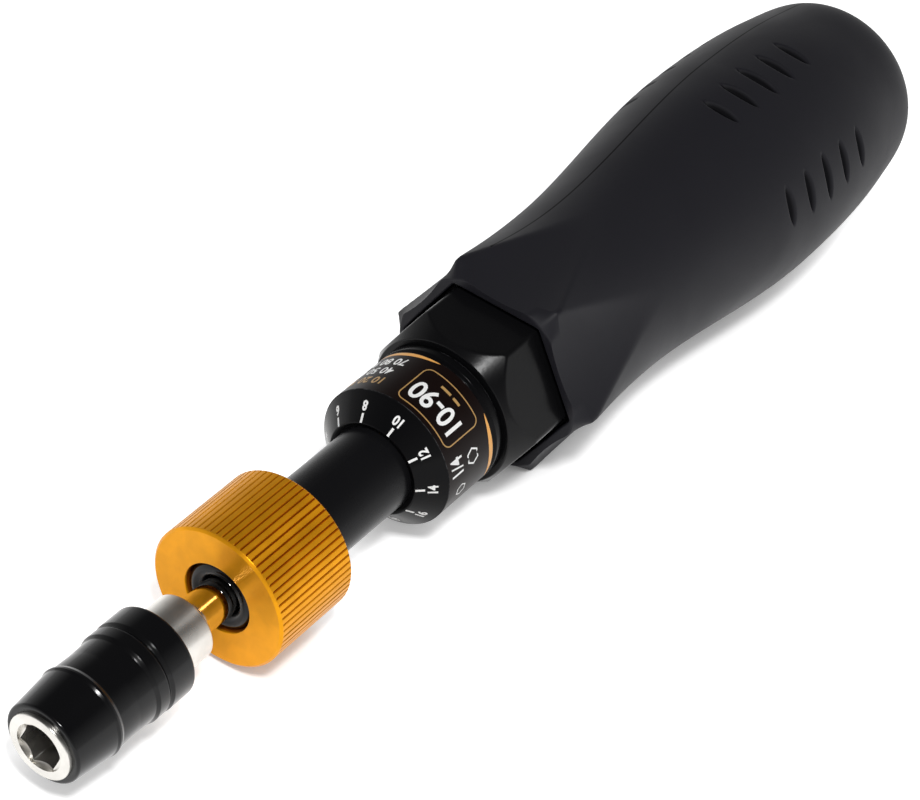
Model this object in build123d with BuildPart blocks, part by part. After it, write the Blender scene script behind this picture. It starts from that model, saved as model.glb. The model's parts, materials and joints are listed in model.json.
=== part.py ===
from build123d import *
from math import asin, cos, degrees, pi, radians, sin, sqrt
import os

os.makedirs("parts", exist_ok=True)

# Adjustable torque screwdriver, lying on its handle. Millimetres, +Z up.
# The origin is the middle of the bit socket's mouth. The tool's axis runs from there towards the tail,
# mostly along +X, and climbs a little because the swell of the handle is thicker than its front flange.
# Distances called "at" are measured along the tool's axis from the mouth of the bit socket.

# Clearances
seat_gap = 0.02
running_gap = 0.05
free_gap = 0.30

# Bit holder, with its quarter inch hexagon socket
socket_across = 6.40
socket_depth = 14.0
socket_mouth_r = 3.95
socket_turn = -12.5
holder_r = 5.45
holder_length = 31.0
holder_edge = 0.25
shaft_seat_depth = 11.0

# Locking ball, and how far the release collar lets it move
ball_at = 11.0
ball_bite = 0.675
ball_clear = 0.075
collar_travel = 2.5

# Release collar
collar_at = 0.7
collar_length = 23.8
collar_lip = 0.55
collar_nose_wall = 1.12
collar_nose_length = 8.2
collar_ridge_wall = 2.02
collar_waist_wall = 1.77
collar_waist_hollow = 0.1
collar_band_length = 3.0
collar_band_wall = 2.12
collar_rear_length = 4.6
collar_rear_wall = 2.19
collar_groove = 0.28
collar_room = 0.175
collar_land_length = 2.8
collar_bush_length = 4.2

# Spring of the release collar, and the ring that holds it
stop_ring_width = 0.7
stop_ring_height = 0.75
stop_groove_depth = 0.5
collar_wire = 0.5
collar_turns = 4

# Drive shaft
shaft_r = 3.2
shaft_tail = 1.2
shaft_edge = 0.4

# Torque adjuster: fluted knob, scale tube, bush and O-ring
knob_stand_off = 7.3
knob_r = 12.0
knob_length = 16.8
knob_edge = 0.8
flute_count = 72
flute_depth = 0.34
flute_share = 0.62
knob_recess_depth = 3.0
knob_web = 2.0
o_ring_wire_r = 1.35
tube_r = 7.15
tube_bush_wall = 1.33
tube_showing = 20.5
tube_reach = 10.5
bush_length = 9.0
thread_pitch = 2.0
turns_back = 0.5
turns_forward = 3.5

# Dial collar and its label
dial_mouth_edge = 0.95
dial_r = 12.05
dial_wall = 2.5
dial_cone_length = 3.3
dial_nose_reach = 0.8
label_thickness = 0.25
label_length = 11.4
dial_rear_length = 2.85
dial_shoulder = 0.35
dial_ring_width = 1.0
dial_groove_width = 0.55
dial_groove_depth = 0.55

# Body tube with its hexagon head
head_step = 0.85
head_chamfer_length = 5.0
head_wall = 0.4
head_length = 18.5
barrel_wall = 2.0
barrel_rim = 0.6
chamber_room = 3.0
chamber_r = 11.0
key_width = 3.0
key_depth = 0.9

# Thrust bearing and front spring seat, which the scale tube pushes
thrust_race_wall = 2.4
thrust_washer_thickness = 1.2
thrust_ball_r = 0.95
thrust_ball_count = 8
thrust_pitch_r = 6.6
spring_seat_room = 1.0
spring_seat_thickness = 2.0
spring_hub_length = 4.0

# Torque spring, of rectangular wire
spring_mean_r = 7.7
spring_wire_wide = 2.6
spring_wire_thick = 2.2
spring_turns = 7
spring_spare = 12.8

# Slip clutch
plate_thickness = 6.0
plate_hub_length = 3.0
clutch_ball_r = 2.0
clutch_ball_count = 4
clutch_rim = 0.8
clutch_drop = 0.8
clutch_face_gap = 0.4
driver_length = 7.0
driver_room = 0.6
driver_pin_r = 1.0

# Rear bearing and its plug
rear_washer_thickness = 1.2
plug_length = 9.5
rear_bush_r = 4.8
rear_bush_flange_r = 7.0
rear_bush_flange = 1.3
circlip_thickness = 0.9
circlip_height = 1.4
circlip_groove_depth = 0.5

# Moulded handle
flange_recess_depth = 6.5
flange_lip_wall = 0.62
flange_lip_length = 3.2
flange_bevel = 2.4
flange_wall = 1.4
flange_recess_gap = 0.7
flange_rim = 1.2
petal_hollow_r = 34.0
petal_half_width = 14.0
petal_slope = 3.1
petal_overrun = 5.0
neck_length = 26.5
neck_r = 16.65
swell_length = 46.0
swell_r = 20.57
shoulder_length = 25.0
shoulder_r = 19.0
tail_round_length = 15.0
handle_end_r = 10.5
flare_fall = -0.22
shoulder_fall = -0.16
slot_rows = 6
slots_per_row = 5
slot_spacing = 5.75
slot_offset = 1.3
slot_wheel_r = 9.0
slot_depth = 1.0
slot_width = 2.3
slot_fade = 0.12
grip_turn = 5.0

# Square tail socket
tail_across = 14.0
tail_length = 21.5
tail_recess = 0.5
tail_socket_across = 6.45
tail_socket_depth = 9.5
tail_mouth_edge = 0.5


def hexagon_r(across_flats):
    """The corner radius of a hexagon."""
    return across_flats / 2 / cos(radians(30))


# Radii that follow from the sizes above: each piece takes its own from the piece that it fits
ball_r = (holder_r - socket_across / 2 + ball_bite + ball_clear) / 2
ball_centre_r = socket_across / 2 - ball_bite + ball_r
ball_lift = ball_bite + ball_clear
collar_bore_r = holder_r + running_gap
collar_land_r = holder_r + 3 * running_gap
collar_chamber_r = ball_centre_r + ball_r + ball_lift + collar_room
collar_nose_r = holder_r + collar_nose_wall
collar_ridge_r = holder_r + collar_ridge_wall
collar_waist_r = holder_r + collar_waist_wall
collar_band_r = holder_r + collar_band_wall
collar_rear_r = holder_r + collar_rear_wall
knob_recess_r = shaft_r + 2 * o_ring_wire_r + 2 * running_gap
tube_bore_r = shaft_r + running_gap + tube_bush_wall + seat_gap
dial_mouth_r = tube_r + dial_mouth_edge
nose_r = dial_r - dial_wall
head_front_r = dial_r + head_step
barrel_r = chamber_r + barrel_wall
head_across = 2 * (barrel_r + head_wall)
recess_across = head_across + 2 * flange_recess_gap
flange_mid_r = recess_across / 2 + flange_wall
flange_lip_r = hexagon_r(recess_across) + flange_lip_wall
flange_r = flange_lip_r + flange_bevel
thrust_washer_r = thrust_pitch_r + thrust_race_wall
spring_seat_r = chamber_r - spring_seat_room
hub_r = spring_mean_r - spring_wire_thick / 2 - free_gap
driver_r = chamber_r - driver_room
clutch_pitch_r = driver_r - clutch_rim - clutch_ball_r

# Places along the tool, each from the piece in front of it
collar_end_at = collar_at + collar_length
collar_ridge_at = collar_at + collar_nose_length
collar_rear_at = collar_end_at - collar_rear_length
collar_band_at = collar_rear_at - collar_band_length
stop_ring_at = collar_end_at - collar_bush_length - stop_ring_width
shaft_at = holder_length - shaft_seat_depth
knob_at = holder_length + knob_stand_off
knob_end_at = knob_at + knob_length
tube_at = knob_at + knob_recess_depth + knob_web
dial_at = knob_end_at + tube_showing
cone_end_at = dial_at + dial_cone_length
nose_at = cone_end_at - dial_nose_reach
label_at = cone_end_at + dial_shoulder
label_end_at = label_at + label_length
head_at = label_end_at + dial_rear_length
head_end_at = head_at + head_length
tube_end_at = head_at + tube_reach
chamber_at = tube_end_at - turns_back * thread_pitch - chamber_room
thrust_race_at = tube_end_at + thrust_washer_thickness
spring_seat_at = thrust_race_at + 2 * (thrust_ball_r + seat_gap)
spring_at = spring_seat_at + spring_seat_thickness
spring_room = spring_turns * spring_wire_wide + turns_forward * thread_pitch + spring_spare
plate_at = spring_at + spring_room
plate_rear_at = plate_at + plate_thickness
key_at = plate_at - free_gap
driver_at = plate_rear_at + clutch_drop + clutch_face_gap
driver_end_at = driver_at + driver_length
clutch_ball_at = plate_rear_at + running_gap + clutch_ball_r
driver_pin_at = (clutch_ball_at + clutch_ball_r + driver_end_at) / 2
plug_at = driver_end_at + rear_washer_thickness + rear_bush_flange
plug_end_at = plug_at + plug_length
circlip_at = plug_end_at + free_gap
shaft_end_at = circlip_at + circlip_thickness + shaft_tail
barrel_end_at = shaft_end_at + barrel_rim
flange_at = head_end_at - flange_recess_depth
flange_widest_at = flange_at + flange_lip_length
neck_at = flange_at + neck_length
swell_at = neck_at + swell_length
shoulder_at = swell_at + shoulder_length
handle_end_at = shoulder_at + tail_round_length

# The handle rests on two corners of its flange and on its swell, so the tool's axis leans by this angle
corner_drop = flange_r * cos(radians(30))
lie_angle = degrees(asin((swell_r - corner_drop) / (swell_at - flange_widest_at)))

# How far in from its corner the middle of a rounded edge lies, as a share of its radius
round_share = 1 - cos(radians(45))

# Directions and planes of the tool
tool_dir = Vector(cos(radians(lie_angle)), 0, sin(radians(lie_angle)))
up_dir = Vector(-sin(radians(lie_angle)), 0, cos(radians(lie_angle)))
side_dir = Vector(0, -1, 0)
tool_axis = Axis((0, 0, 0), tool_dir)
side_plane = Plane(origin=(0, 0, 0), x_dir=tool_dir, z_dir=side_dir)


def point_at(at):
    """The point of the tool's axis at this distance from the mouth."""
    return tool_dir * at


def across(at):
    """The plane square to the tool's axis, looking towards the tail, with its X along +Y."""
    return Plane(origin=point_at(at), x_dir=-side_dir, z_dir=tool_dir)


def outwards(angle):
    """The direction away from the axis, at this angle from the top towards the camera's side."""
    return up_dir * cos(radians(angle)) + side_dir * sin(radians(angle))


def round_the_axis(angle):
    """The direction round the axis, square to outwards(angle)."""
    return side_dir * cos(radians(angle)) - up_dir * sin(radians(angle))


# Bit holder: a turned steel sleeve with a hexagon socket in front and the shaft's seat behind
with BuildPart() as bit_holder:
    with BuildSketch(side_plane):
        with BuildLine():
            Polyline(
                (0, 0),
                (0, holder_r - holder_edge),
                (holder_edge, holder_r),
                (holder_length - holder_edge, holder_r),
                (holder_length, holder_r - holder_edge),
                (holder_length, 0),
                close=True,
            )
        make_face()
    revolve(axis=tool_axis)
    with BuildSketch(across(0)):
        RegularPolygon(hexagon_r(socket_across), 6, rotation=socket_turn)
    extrude(amount=socket_depth, mode=Mode.SUBTRACT)
    with BuildSketch(side_plane):
        with BuildLine():
            Polyline((0, 0), (0, socket_mouth_r), (socket_mouth_r - socket_across / 2, socket_across / 2),
                     (socket_mouth_r - socket_across / 2, 0), close=True)
        make_face()
    revolve(axis=tool_axis, mode=Mode.SUBTRACT)
    with BuildSketch(across(holder_length)):
        Circle(shaft_r + seat_gap)
    extrude(amount=-shaft_seat_depth, mode=Mode.SUBTRACT)
    with BuildSketch(Plane(origin=point_at(ball_at), z_dir=outwards(0))):
        Circle(ball_r + running_gap)
    extrude(amount=holder_r + free_gap, mode=Mode.SUBTRACT)
    with BuildSketch(across(stop_ring_at)):
        Circle(holder_r + free_gap)
        Circle(holder_r - stop_groove_depth, mode=Mode.SUBTRACT)
    extrude(amount=stop_ring_width, mode=Mode.SUBTRACT)
bit_holder.part.label = "bit_holder"
export_step(bit_holder.part, "parts/bit_holder.step")

# Stop ring: a split ring in the holder's groove, behind the collar's spring
with BuildPart() as stop_ring:
    with BuildSketch(across(stop_ring_at + seat_gap)):
        Circle(holder_r + stop_ring_height)
        Circle(holder_r - stop_groove_depth + seat_gap, mode=Mode.SUBTRACT)
        with Locations((0, -holder_r)):
            Rectangle(3 * stop_ring_width, holder_r, mode=Mode.SUBTRACT)
    extrude(amount=stop_ring_width - 2 * seat_gap)
stop_ring.part.label = "stop_ring"
export_step(stop_ring.part, "parts/stop_ring.step")

# Release collar: a turned sleeve with a nose, a waist, two rear bands and a ramped inside
collar_land_at = ball_at + ball_r / 5
collar_land_end_at = ball_at + collar_land_length
collar_pocket_at = ball_at - collar_travel - ball_r - free_gap
collar_ramp_at = ball_at - collar_travel
with BuildPart() as release_collar:
    with BuildSketch(side_plane):
        with BuildLine():
            nose = Line((collar_at, collar_bore_r), (collar_at, collar_nose_r - collar_lip))
            lip = ThreePointArc(
                nose @ 1,
                (collar_at + collar_lip * round_share, collar_nose_r - collar_lip * round_share),
                (collar_at + collar_lip, collar_nose_r),
            )
            ridge = Polyline(
                lip @ 1,
                (collar_ridge_at - collar_lip, collar_ridge_r),
                (collar_ridge_at, collar_ridge_r),
                (collar_ridge_at + collar_lip, collar_waist_r),
            )
            waist = ThreePointArc(
                ridge @ 1,
                ((collar_ridge_at + collar_band_at) / 2, collar_waist_r - collar_waist_hollow),
                (collar_band_at - collar_lip, collar_waist_r),
            )
            band = Polyline(
                waist @ 1,
                (collar_band_at, collar_band_r),
                (collar_rear_at - 2 * collar_lip, collar_band_r),
                (collar_rear_at - collar_lip, collar_band_r - collar_groove),
                (collar_rear_at, collar_rear_r),
                (collar_end_at - collar_lip, collar_rear_r),
            )
            heel = ThreePointArc(
                band @ 1,
                (collar_end_at - collar_lip * round_share, collar_rear_r - collar_lip * round_share),
                (collar_end_at, collar_rear_r - collar_lip),
            )
            Polyline(
                heel @ 1,
                (collar_end_at, collar_chamber_r),
                (collar_land_end_at, collar_chamber_r),
                (collar_land_end_at, collar_land_r),
                (collar_land_at, collar_land_r),
                (collar_ramp_at, collar_chamber_r),
                (collar_pocket_at, collar_chamber_r),
                (collar_pocket_at, collar_bore_r),
                nose @ 0,
            )
        make_face()
    revolve(axis=tool_axis)
release_collar.part.label = "release_collar"
export_step(release_collar.part, "parts/release_collar.step")

# Collar bush: pressed into the collar's rear end, it slides on the holder and stops on the ring
with BuildPart() as collar_bush:
    with BuildSketch(across(collar_end_at - collar_bush_length + seat_gap)):
        Circle(collar_chamber_r - seat_gap)
        Circle(collar_bore_r, mode=Mode.SUBTRACT)
    extrude(amount=collar_bush_length - 2 * seat_gap)
collar_bush.part.label = "collar_bush"
export_step(collar_bush.part, "parts/collar_bush.step")

# Collar spring: it pushes the collar forwards, off the stop ring
collar_spring_at = collar_land_end_at + collar_wire / 2 + seat_gap
collar_spring_run = stop_ring_at - collar_wire / 2 - seat_gap - collar_spring_at
collar_spring_r = (collar_chamber_r + holder_r) / 2
with BuildPart() as collar_spring:
    with BuildLine():
        collar_coil = Helix(
            pitch=collar_spring_run / collar_turns,
            height=collar_spring_run,
            radius=collar_spring_r,
            center=point_at(collar_spring_at),
            direction=tool_dir,
        )
    with BuildSketch(Plane(origin=collar_coil @ 0, x_dir=tool_dir, z_dir=collar_coil % 0)):
        RegularPolygon(collar_wire / 2, 6)
    sweep(path=collar_coil, is_frenet=True)
collar_spring.part.label = "collar_spring"
export_step(collar_spring.part, "parts/collar_spring.step")

# Locking ball: it bites into the notch of a bit
with BuildPart() as locking_ball:
    with Locations(point_at(ball_at) + outwards(0) * ball_centre_r):
        Sphere(ball_r)
locking_ball.part.label = "locking_ball"
export_step(locking_ball.part, "parts/locking_ball.step")

# Drive shaft: a ground steel rod from the bit holder to the rear bush
with BuildPart() as drive_shaft:
    with BuildSketch(side_plane):
        with BuildLine():
            Polyline(
                (shaft_at + seat_gap, 0),
                (shaft_at + seat_gap, shaft_r - shaft_edge),
                (shaft_at + shaft_edge, shaft_r),
                (circlip_at, shaft_r),
                (circlip_at, shaft_r - circlip_groove_depth),
                (circlip_at + circlip_thickness, shaft_r - circlip_groove_depth),
                (circlip_at + circlip_thickness, shaft_r),
                (shaft_end_at - shaft_edge, shaft_r),
                (shaft_end_at, shaft_r - shaft_edge),
                (shaft_end_at, 0),
                close=True,
            )
        make_face()
    revolve(axis=tool_axis)
    with BuildSketch(Plane(origin=point_at(driver_pin_at), z_dir=outwards(0))):
        Circle(driver_pin_r + seat_gap)
    extrude(amount=shaft_r + free_gap, both=True, mode=Mode.SUBTRACT)
drive_shaft.part.label = "drive_shaft"
export_step(drive_shaft.part, "parts/drive_shaft.step")

# Adjuster knob: turned aluminium with straight flutes and a recess for the O-ring
with BuildPart() as adjuster_knob:
    with BuildSketch(across(knob_at)):
        Circle(knob_r)
        flute_half = pi * knob_r / flute_count * flute_share
        with PolarLocations(knob_r - flute_depth, flute_count):
            Polygon((0, 0), (2 * flute_depth, -2 * flute_half), (2 * flute_depth, 2 * flute_half),
                    align=None, mode=Mode.SUBTRACT)
    extrude(amount=knob_length)
    with BuildSketch(side_plane):
        with BuildLine():
            Polyline(
                (knob_at, knob_recess_r),
                (knob_at, knob_r - knob_edge),
                (knob_at + knob_edge * round_share, knob_r - knob_edge * round_share),
                (knob_at + knob_edge, knob_r),
                (knob_end_at - knob_edge / 2, knob_r),
                (knob_end_at, knob_r - knob_edge / 2),
                (knob_end_at, tube_r + seat_gap),
                (tube_at, tube_r + seat_gap),
                (tube_at, shaft_r + free_gap),
                (tube_at - knob_web, shaft_r + free_gap),
                (tube_at - knob_web, knob_recess_r),
                close=True,
            )
        make_face()
    revolve(axis=tool_axis, mode=Mode.INTERSECT)
adjuster_knob.part.label = "adjuster_knob"
export_step(adjuster_knob.part, "parts/adjuster_knob.step")

# O-ring: it wipes the shaft where it enters the knob
with BuildPart() as o_ring:
    with BuildSketch(side_plane):
        with Locations((tube_at - knob_web - o_ring_wire_r - seat_gap, shaft_r + running_gap + o_ring_wire_r)):
            Circle(o_ring_wire_r)
    revolve(axis=tool_axis)
o_ring.part.label = "o_ring"
export_step(o_ring.part, "parts/o_ring.step")

# Scale tube: it turns and slides with the knob, and its rear end pushes the spring
with BuildPart() as scale_tube:
    with BuildSketch(side_plane):
        with BuildLine():
            Polyline(
                (tube_at + seat_gap, tube_bore_r),
                (tube_at + seat_gap, tube_r),
                (tube_end_at - shaft_edge, tube_r),
                (tube_end_at, tube_r - shaft_edge),
                (tube_end_at, tube_bore_r),
                close=True,
            )
        make_face()
    revolve(axis=tool_axis)
scale_tube.part.label = "scale_tube"
export_step(scale_tube.part, "parts/scale_tube.step")

# Tube bush: the knob's end of the tube runs on the shaft through it
with BuildPart() as tube_bush:
    with BuildSketch(across(tube_at + seat_gap)):
        Circle(tube_bore_r - seat_gap)
        Circle(shaft_r + running_gap, mode=Mode.SUBTRACT)
    extrude(amount=bush_length)
tube_bush.part.label = "tube_bush"
export_step(tube_bush.part, "parts/tube_bush.step")

# Dial collar: a cone for the dial, a seat for the label, and two grooves behind it
ring_at = label_end_at + seat_gap
with BuildPart() as dial_collar:
    with BuildSketch(side_plane):
        with BuildLine():
            Polyline(
                (dial_at + dial_mouth_edge, tube_r + running_gap),
                (dial_at, dial_mouth_r),
                (cone_end_at, dial_r - dial_shoulder),
                (cone_end_at + dial_shoulder / 2, dial_r),
                (label_at - seat_gap, dial_r),
                (label_at - seat_gap, dial_r - label_thickness - seat_gap),
                (ring_at, dial_r - label_thickness - seat_gap),
                (ring_at, dial_r),
                (ring_at + dial_groove_width, dial_r - dial_groove_depth),
                (ring_at + dial_ring_width, dial_r),
                (head_at - dial_groove_width, dial_r),
                (head_at - dial_groove_width, dial_r - dial_groove_depth),
                (head_at, dial_r - dial_groove_depth),
                (head_at, nose_r + seat_gap),
                (nose_at, nose_r + seat_gap),
                (nose_at, tube_r + running_gap),
                close=True,
            )
        make_face()
    revolve(axis=tool_axis)
dial_collar.part.label = "dial_collar"
export_step(dial_collar.part, "parts/dial_collar.step")

# Dial label: the printed band round the dial collar
with BuildPart() as dial_label:
    with BuildSketch(across(label_at)):
        Circle(dial_r)
        Circle(dial_r - label_thickness, mode=Mode.SUBTRACT)
    extrude(amount=label_length)
dial_label.part.label = "dial_label"
export_step(dial_label.part, "parts/dial_label.step")

# Body tube: a nose for the dial, a hexagon head that keys into the handle, and the clutch's barrel
with BuildPart() as body_tube:
    with BuildSketch(across(head_at)):
        RegularPolygon(hexagon_r(head_across), 6)
    extrude(amount=head_length)
    with BuildSketch(side_plane):
        with BuildLine():
            Polyline(
                (head_at, 0),
                (head_at, head_front_r),
                (head_at + head_chamfer_length, hexagon_r(head_across)),
                (head_end_at, hexagon_r(head_across) + free_gap),
                (head_end_at, 0),
                close=True,
            )
        make_face()
    revolve(axis=tool_axis, mode=Mode.INTERSECT)
    with BuildSketch(across(nose_at + seat_gap)):
        Circle(nose_r)
    extrude(amount=head_at - nose_at)
    with BuildSketch(across(head_end_at)):
        Circle(barrel_r)
    extrude(amount=barrel_end_at - head_end_at)
    with BuildSketch(across(dial_at)):
        Circle(tube_r + running_gap)
    extrude(amount=barrel_end_at - dial_at, mode=Mode.SUBTRACT)
    with BuildSketch(across(chamber_at)):
        Circle(chamber_r)
    extrude(amount=barrel_end_at - chamber_at, mode=Mode.SUBTRACT)
    with BuildSketch(across(key_at)):
        Rectangle(2 * (chamber_r + key_depth), key_width)
    extrude(amount=barrel_end_at - key_at, mode=Mode.SUBTRACT)
body_tube.part.label = "body_tube"
export_step(body_tube.part, "parts/body_tube.step")

# Thrust washer: the scale tube turns against it
with BuildPart() as thrust_washer:
    with BuildSketch(across(tube_end_at + seat_gap)):
        Circle(thrust_washer_r)
        Circle(shaft_r + free_gap, mode=Mode.SUBTRACT)
    extrude(amount=thrust_washer_thickness - seat_gap)
thrust_washer.part.label = "thrust_washer"
export_step(thrust_washer.part, "parts/thrust_washer.step")

# Thrust balls: they let the tube turn while the spring seat only slides
with BuildPart() as thrust_balls:
    with Locations(across(thrust_race_at + thrust_ball_r + seat_gap)):
        with PolarLocations(thrust_pitch_r, thrust_ball_count):
            Sphere(thrust_ball_r)
thrust_balls.part.label = "thrust_balls"
export_step(thrust_balls.part, "parts/thrust_balls.step")

# Front spring seat: a flange with a hub that centres the spring
with BuildPart() as spring_seat:
    with BuildSketch(side_plane):
        with BuildLine():
            Polyline(
                (spring_seat_at, shaft_r + free_gap),
                (spring_seat_at, spring_seat_r),
                (spring_at, spring_seat_r),
                (spring_at, hub_r),
                (spring_at + spring_hub_length, hub_r),
                (spring_at + spring_hub_length, shaft_r + free_gap),
                close=True,
            )
        make_face()
    revolve(axis=tool_axis)
spring_seat.part.label = "spring_seat"
export_step(spring_seat.part, "parts/spring_seat.step")

# Torque spring: rectangular wire, from the spring seat to the clutch plate
coil_at = spring_at + spring_wire_wide / 2 + free_gap
coil_run = plate_at - spring_wire_wide / 2 - free_gap - coil_at
with BuildPart() as torque_spring:
    with BuildLine():
        coil = Helix(
            pitch=coil_run / spring_turns,
            height=coil_run,
            radius=spring_mean_r,
            center=point_at(coil_at),
            direction=tool_dir,
        )
    with BuildSketch(Plane(origin=coil @ 0, x_dir=tool_dir, z_dir=coil % 0)):
        Rectangle(spring_wire_wide, spring_wire_thick)
    sweep(path=coil, is_frenet=True)
torque_spring.part.label = "torque_spring"
export_step(torque_spring.part, "parts/torque_spring.step")

# Clutch plate: it slides in the barrel on two keys, and its dimples drop over the clutch balls.
# It is drawn just clear of them, as it stands with the spring slack.
with BuildPart() as clutch_plate:
    with BuildSketch(across(plate_at)):
        Circle(chamber_r - free_gap)
        Rectangle(2 * (chamber_r + key_depth - free_gap), key_width - free_gap)
    extrude(amount=plate_thickness)
    with BuildSketch(across(plate_at)):
        Circle(hub_r)
    extrude(amount=-plate_hub_length)
    with BuildSketch(across(plate_rear_at)):
        Circle(shaft_r + free_gap)
    extrude(amount=-plate_thickness - plate_hub_length, mode=Mode.SUBTRACT)
    with Locations(across(clutch_ball_at - clutch_drop)):
        with PolarLocations(clutch_pitch_r, clutch_ball_count):
            Sphere(clutch_ball_r + running_gap, mode=Mode.SUBTRACT)
clutch_plate.part.label = "clutch_plate"
export_step(clutch_plate.part, "parts/clutch_plate.step")

# Clutch balls: they sit deep in the driver and stand a little out of it
with BuildPart() as clutch_balls:
    with Locations(across(clutch_ball_at)):
        with PolarLocations(clutch_pitch_r, clutch_ball_count):
            Sphere(clutch_ball_r)
clutch_balls.part.label = "clutch_balls"
export_step(clutch_balls.part, "parts/clutch_balls.step")

# Clutch driver: a disc pinned to the shaft, which carries the balls round
with BuildPart() as clutch_driver:
    with BuildSketch(across(driver_at)):
        Circle(driver_r)
        Circle(shaft_r + seat_gap, mode=Mode.SUBTRACT)
    extrude(amount=driver_length)
    with BuildSketch(across(driver_at)):
        with PolarLocations(clutch_pitch_r, clutch_ball_count):
            Circle(clutch_ball_r + seat_gap)
    extrude(amount=clutch_ball_at + clutch_ball_r + seat_gap - driver_at, mode=Mode.SUBTRACT)
    with BuildSketch(Plane(origin=point_at(driver_pin_at), z_dir=outwards(0))):
        Circle(driver_pin_r + seat_gap)
    extrude(amount=driver_r, both=True, mode=Mode.SUBTRACT)
clutch_driver.part.label = "clutch_driver"
export_step(clutch_driver.part, "parts/clutch_driver.step")

# Driver pin: it goes through the driver and the shaft
with BuildPart() as driver_pin:
    with BuildSketch(Plane(origin=point_at(driver_pin_at), z_dir=outwards(0))):
        Circle(driver_pin_r)
    extrude(amount=driver_r - free_gap, both=True)
driver_pin.part.label = "driver_pin"
export_step(driver_pin.part, "parts/driver_pin.step")

# Rear washer: it takes the spring's force off the turning driver
with BuildPart() as rear_washer:
    with BuildSketch(across(driver_end_at + seat_gap)):
        Circle(driver_r)
        Circle(shaft_r + seat_gap, mode=Mode.SUBTRACT)
    extrude(amount=rear_washer_thickness - 2 * seat_gap)
rear_washer.part.label = "rear_washer"
export_step(rear_washer.part, "parts/rear_washer.step")

# Rear bush: the flanged bearing of the shaft's tail
with BuildPart() as rear_bush:
    with BuildSketch(across(plug_at - rear_bush_flange)):
        Circle(rear_bush_flange_r)
    extrude(amount=rear_bush_flange - seat_gap)
    with BuildSketch(across(plug_at - rear_bush_flange)):
        Circle(rear_bush_r)
    extrude(amount=rear_bush_flange + plug_length)
    with BuildSketch(across(plug_at - rear_bush_flange)):
        Circle(shaft_r + running_gap)
    extrude(amount=rear_bush_flange + plug_length, mode=Mode.SUBTRACT)
rear_bush.part.label = "rear_bush"
export_step(rear_bush.part, "parts/rear_bush.step")

# Rear plug: screwed into the barrel, it holds the whole clutch in
with BuildPart() as rear_plug:
    with BuildSketch(across(plug_at)):
        Circle(chamber_r - seat_gap)
        Circle(rear_bush_r + seat_gap, mode=Mode.SUBTRACT)
    extrude(amount=plug_length)
rear_plug.part.label = "rear_plug"
export_step(rear_plug.part, "parts/rear_plug.step")

# Shaft circlip: it keeps the shaft from being pulled out of the plug
with BuildPart() as shaft_circlip:
    with BuildSketch(across(circlip_at + seat_gap)):
        Circle(shaft_r + circlip_height)
        Circle(shaft_r - circlip_groove_depth + seat_gap, mode=Mode.SUBTRACT)
        with Locations((0, -shaft_r)):
            Rectangle(2 * circlip_thickness, shaft_r, mode=Mode.SUBTRACT)
    extrude(amount=circlip_thickness - 2 * seat_gap)
shaft_circlip.part.label = "shaft_circlip"
export_step(shaft_circlip.part, "parts/shaft_circlip.step")

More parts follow.
